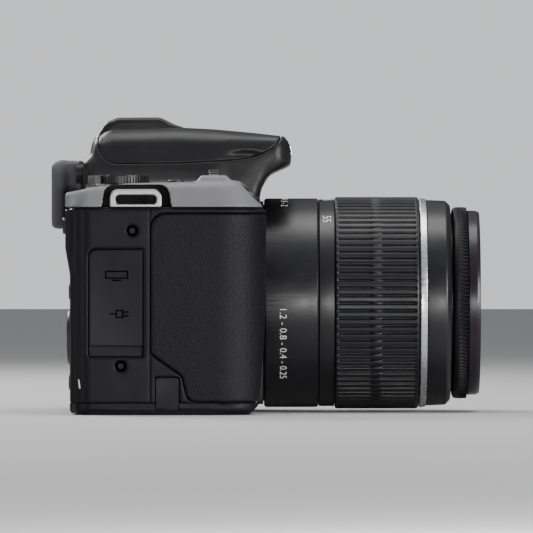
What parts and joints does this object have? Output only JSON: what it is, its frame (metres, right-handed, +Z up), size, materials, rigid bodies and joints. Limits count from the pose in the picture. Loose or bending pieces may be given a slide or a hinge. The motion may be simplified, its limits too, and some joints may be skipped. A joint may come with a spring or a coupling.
{
  "type": "dslr camera",
  "caption": "Digital single-lens reflex camera with zoom lens, pop-up flash and swing-out screen.",
  "frame": {"origin": "mouth of the tripod socket in the base plane, under the lens axis", "axes": "+X forward along the lens axis, +Y to the user's left, +Z up"},
  "size_m": [0.1367, 0.123, 0.0941],
  "materials": {
    "body_plastic": "fine satin grain",
    "grip_leatherette": "pebbled leatherette",
    "soft_rubber": "matt",
    "lens_rubber": "matt, moulded ribs",
    "lens_plastic": "satin",
    "silver_ring": "satin plated",
    "bright_metal": "satin",
    "screw_steel": "blackened",
    "clear_glass": "coated, polished",
    "screen_gloss": "polished",
    "screen_shell": "satin",
    "flash_lens": "ribbed diffuser",
    "mirror_face": "polished",
    "inner_plastic": "matt black",
    "sensor": "glass filter",
    "circuit_board": "solder mask",
    "button_plastic": "satin",
    "dial_plastic": "satin with knurled rim"
  },
  "bodies": {
    "root": {"front_cover": "body_plastic", "rear_cover": "body_plastic", "top_cover": "body_plastic", "prism_cover": "body_plastic", "bottom_cover": "body_plastic", "grip_rubber": "grip_leatherette", "cover_screws": "screw_steel", "strap_lugs": "bright_metal", "tripod_socket": "bright_metal", "hot_shoe": "bright_metal", "eyecup": "soft_rubber", "eyepiece_lens": "clear_glass", "pentamirror": "mirror_face", "mirror_box": "inner_plastic", "shutter_unit": "inner_plastic", "image_sensor": "sensor", "main_board": "circuit_board", "battery": "inner_plastic", "body_mount_ring": "bright_metal", "lens_mount_ring": "bright_metal", "lens_rear_barrel": "lens_plastic", "rear_lens_group": "clear_glass", "accent_ring": "silver_ring", "lens_front_sleeve": "lens_plastic"},
    "flash": {"flash_head": "body_plastic", "flash_window": "flash_lens"},
    "mode_dial": {"mode_dial": "dial_plastic"},
    "power_switch": {"power_switch": "body_plastic"},
    "main_dial": {"main_dial": "dial_plastic"},
    "diopter_dial": {"diopter_dial": "dial_plastic"},
    "shutter_button": {"shutter_button": "button_plastic"},
    "iso_button": {"iso_button": "button_plastic"},
    "display_button": {"display_button": "button_plastic"},
    "bracket": {"screen_bracket": "body_plastic"},
    "screen": {"screen_housing": "screen_shell", "screen_glass": "screen_gloss"},
    "cross_keys": {"cross_keys": "button_plastic"},
    "set_button": {"set_button": "button_plastic"},
    "lens_release_button": {"lens_release_button": "button_plastic"},
    "flash_button": {"flash_button": "button_plastic"},
    "mirror": {"reflex_mirror": "mirror_face"},
    "battery_door": {"battery_door": "body_plastic"},
    "terminal_door": {"terminal_door": "soft_rubber"},
    "coupler_flap": {"coupler_flap": "soft_rubber"},
    "remote_door": {"remote_door": "soft_rubber"},
    "zoom": {"zoom_ring": "lens_plastic", "zoom_grip": "lens_rubber"},
    "zoom_tube": {"zoom_barrel": "lens_plastic"},
    "helicoid": {"focus_helicoid": "lens_plastic"},
    "focus": {"focus_ring": "lens_plastic", "front_bezel": "lens_plastic", "front_element": "clear_glass"},
    "focus_switch": {"focus_switch": "lens_plastic"},
    "live_view_button": {"live_view_button": "button_plastic"},
    "menu_button": {"menu_button": "button_plastic"},
    "info_button": {"info_button": "button_plastic"},
    "ae_lock_button": {"ae_lock_button": "button_plastic"},
    "af_point_button": {"af_point_button": "button_plastic"},
    "exposure_button": {"exposure_button": "button_plastic"},
    "playback_button": {"playback_button": "button_plastic"}
  },
  "joints": [
    {"name": "flash_hinge", "type": "hinge", "parent": "root", "child": "flash", "pos_m": [-0.017, 0, 0.0856], "axis": [0, -1, 0], "range_deg": [0, 65]},
    {"name": "mode_dial_turn", "type": "hinge", "parent": "root", "child": "mode_dial", "pos_m": [-0.0164, -0.052, 0.0709], "axis": [0, 0, 1], "continuous": true},
    {"name": "power_switch_turn", "type": "hinge", "parent": "root", "child": "power_switch", "pos_m": [-0.0164, -0.052, 0.0709], "axis": [0, 0, -1], "range_deg": [0, 35]},
    {"name": "main_dial_turn", "type": "hinge", "parent": "root", "child": "main_dial", "pos_m": [0.0136, -0.0553, 0.0689], "axis": [1, 0, 0], "continuous": true},
    {"name": "diopter_dial_turn", "type": "hinge", "parent": "root", "child": "diopter_dial", "pos_m": [-0.029, -0.0196, 0.076], "axis": [1, 0, 0], "range_deg": [-100, 100]},
    {"name": "shutter_press", "type": "slide", "parent": "root", "child": "shutter_button", "axis": [-0.682, 0, -0.7314], "range_m": [0, 0.0012], "stiffness_N_per_m": 200, "springref_m": -0.0005},
    {"name": "iso_press", "type": "slide", "parent": "root", "child": "iso_button", "axis": [0, 0, -1], "range_m": [0, 0.0006], "stiffness_N_per_m": 200, "springref_m": -0.0005},
    {"name": "display_press", "type": "slide", "parent": "root", "child": "display_button", "axis": [0, 0, -1], "range_m": [0, 0.0006], "stiffness_N_per_m": 200, "springref_m": -0.0005},
    {"name": "screen_swing", "type": "hinge", "parent": "root", "child": "bracket", "pos_m": [-0.0284, 0.0493, 0.0302], "axis": [0, 0, -1], "range_deg": [0, 175]},
    {"name": "screen_tilt", "type": "hinge", "parent": "bracket", "child": "screen", "pos_m": [-0.0284, 0.043, 0.0302], "axis": [0, 1, 0], "range_deg": [0, 45]},
    {"name": "live_view_press", "type": "slide", "parent": "root", "child": "live_view_button", "axis": [1, 0, 0], "range_m": [0, 0.0006], "stiffness_N_per_m": 200, "springref_m": -0.0005},
    {"name": "menu_press", "type": "slide", "parent": "root", "child": "menu_button", "axis": [1, 0, 0], "range_m": [0, 0.0006], "stiffness_N_per_m": 200, "springref_m": -0.0005},
    {"name": "info_press", "type": "slide", "parent": "root", "child": "info_button", "axis": [1, 0, 0], "range_m": [0, 0.0006], "stiffness_N_per_m": 200, "springref_m": -0.0005},
    {"name": "ae_lock_press", "type": "slide", "parent": "root", "child": "ae_lock_button", "axis": [1, 0, 0], "range_m": [0, 0.0006], "stiffness_N_per_m": 200, "springref_m": -0.0005},
    {"name": "af_point_press", "type": "slide", "parent": "root", "child": "af_point_button", "axis": [1, 0, 0], "range_m": [0, 0.0006], "stiffness_N_per_m": 200, "springref_m": -0.0005},
    {"name": "exposure_press", "type": "slide", "parent": "root", "child": "exposure_button", "axis": [1, 0, 0], "range_m": [0, 0.0006], "stiffness_N_per_m": 200, "springref_m": -0.0005},
    {"name": "playback_press", "type": "slide", "parent": "root", "child": "playback_button", "axis": [1, 0, 0], "range_m": [0, 0.0006], "stiffness_N_per_m": 200, "springref_m": -0.0005},
    {"name": "cross_keys_press", "type": "slide", "parent": "root", "child": "cross_keys", "axis": [1, 0, 0], "range_m": [0, 0.0006], "stiffness_N_per_m": 200, "springref_m": -0.0005},
    {"name": "set_press", "type": "slide", "parent": "root", "child": "set_button", "axis": [1, 0, 0], "range_m": [0, 0.0006], "stiffness_N_per_m": 200, "springref_m": -0.0005},
    {"name": "lens_release_press", "type": "slide", "parent": "root", "child": "lens_release_button", "axis": [-1, 0, 0], "range_m": [0, 0.0015], "stiffness_N_per_m": 200, "springref_m": -0.0005},
    {"name": "flash_button_press", "type": "slide", "parent": "root", "child": "flash_button", "axis": [-1, 0, 0], "range_m": [0, 0.0008], "stiffness_N_per_m": 200, "springref_m": -0.0005},
    {"name": "mirror_flip", "type": "hinge", "parent": "root", "child": "mirror", "pos_m": [0.0006, 0, 0.0464], "axis": [0, -1, 0], "range_deg": [0, 45]},
    {"name": "battery_door_hinge", "type": "hinge", "parent": "root", "child": "battery_door", "pos_m": [0.0043, -0.0476, 0.0012], "axis": [1, 0, 0], "range_deg": [0, 90]},
    {"name": "terminal_door_hinge", "type": "hinge", "parent": "root", "child": "terminal_door", "pos_m": [-0.0093, -0.0684, 0.0351], "axis": [0, 0, 1], "range_deg": [0, 110]},
    {"name": "remote_door_hinge", "type": "hinge", "parent": "root", "child": "remote_door", "pos_m": [0.0034, 0.0528, 0.036], "axis": [0, 0, -1], "range_deg": [0, 110]},
    {"name": "coupler_flap_hinge", "type": "hinge", "parent": "root", "child": "coupler_flap", "pos_m": [-0.001, -0.0682, 0.0019], "axis": [1, 0, 0], "range_deg": [0, 75]},
    {"name": "zoom_turn", "type": "hinge", "parent": "root", "child": "zoom", "pos_m": [0.0626, 0, 0.0348], "axis": [-1, 0, 0], "range_deg": [0, 55]},
    {"name": "zoom_extend", "type": "slide", "parent": "root", "child": "zoom_tube", "axis": [1, 0, 0], "range_m": [0, 0.0119]},
    {"name": "focus_extend", "type": "slide", "parent": "zoom_tube", "child": "helicoid", "axis": [1, 0, 0], "range_m": [0, 0.0039]},
    {"name": "focus_turn", "type": "hinge", "parent": "helicoid", "child": "focus", "pos_m": [0.0926, 0, 0.0348], "axis": [1, 0, 0], "range_deg": [0, 90]},
    {"name": "focus_switch_slide", "type": "slide", "parent": "root", "child": "focus_switch", "axis": [0, 0, -1], "range_m": [0, 0.003]}
  ],
  "couplings": [
    {"joint": "screen_tilt", "follows": "screen_swing", "ratio": 0.25},
    {"joint": "zoom_turn", "follows": "zoom_extend", "rad_per_m": 80},
    {"joint": "focus_turn", "follows": "focus_extend", "rad_per_m": 400}
  ]
}
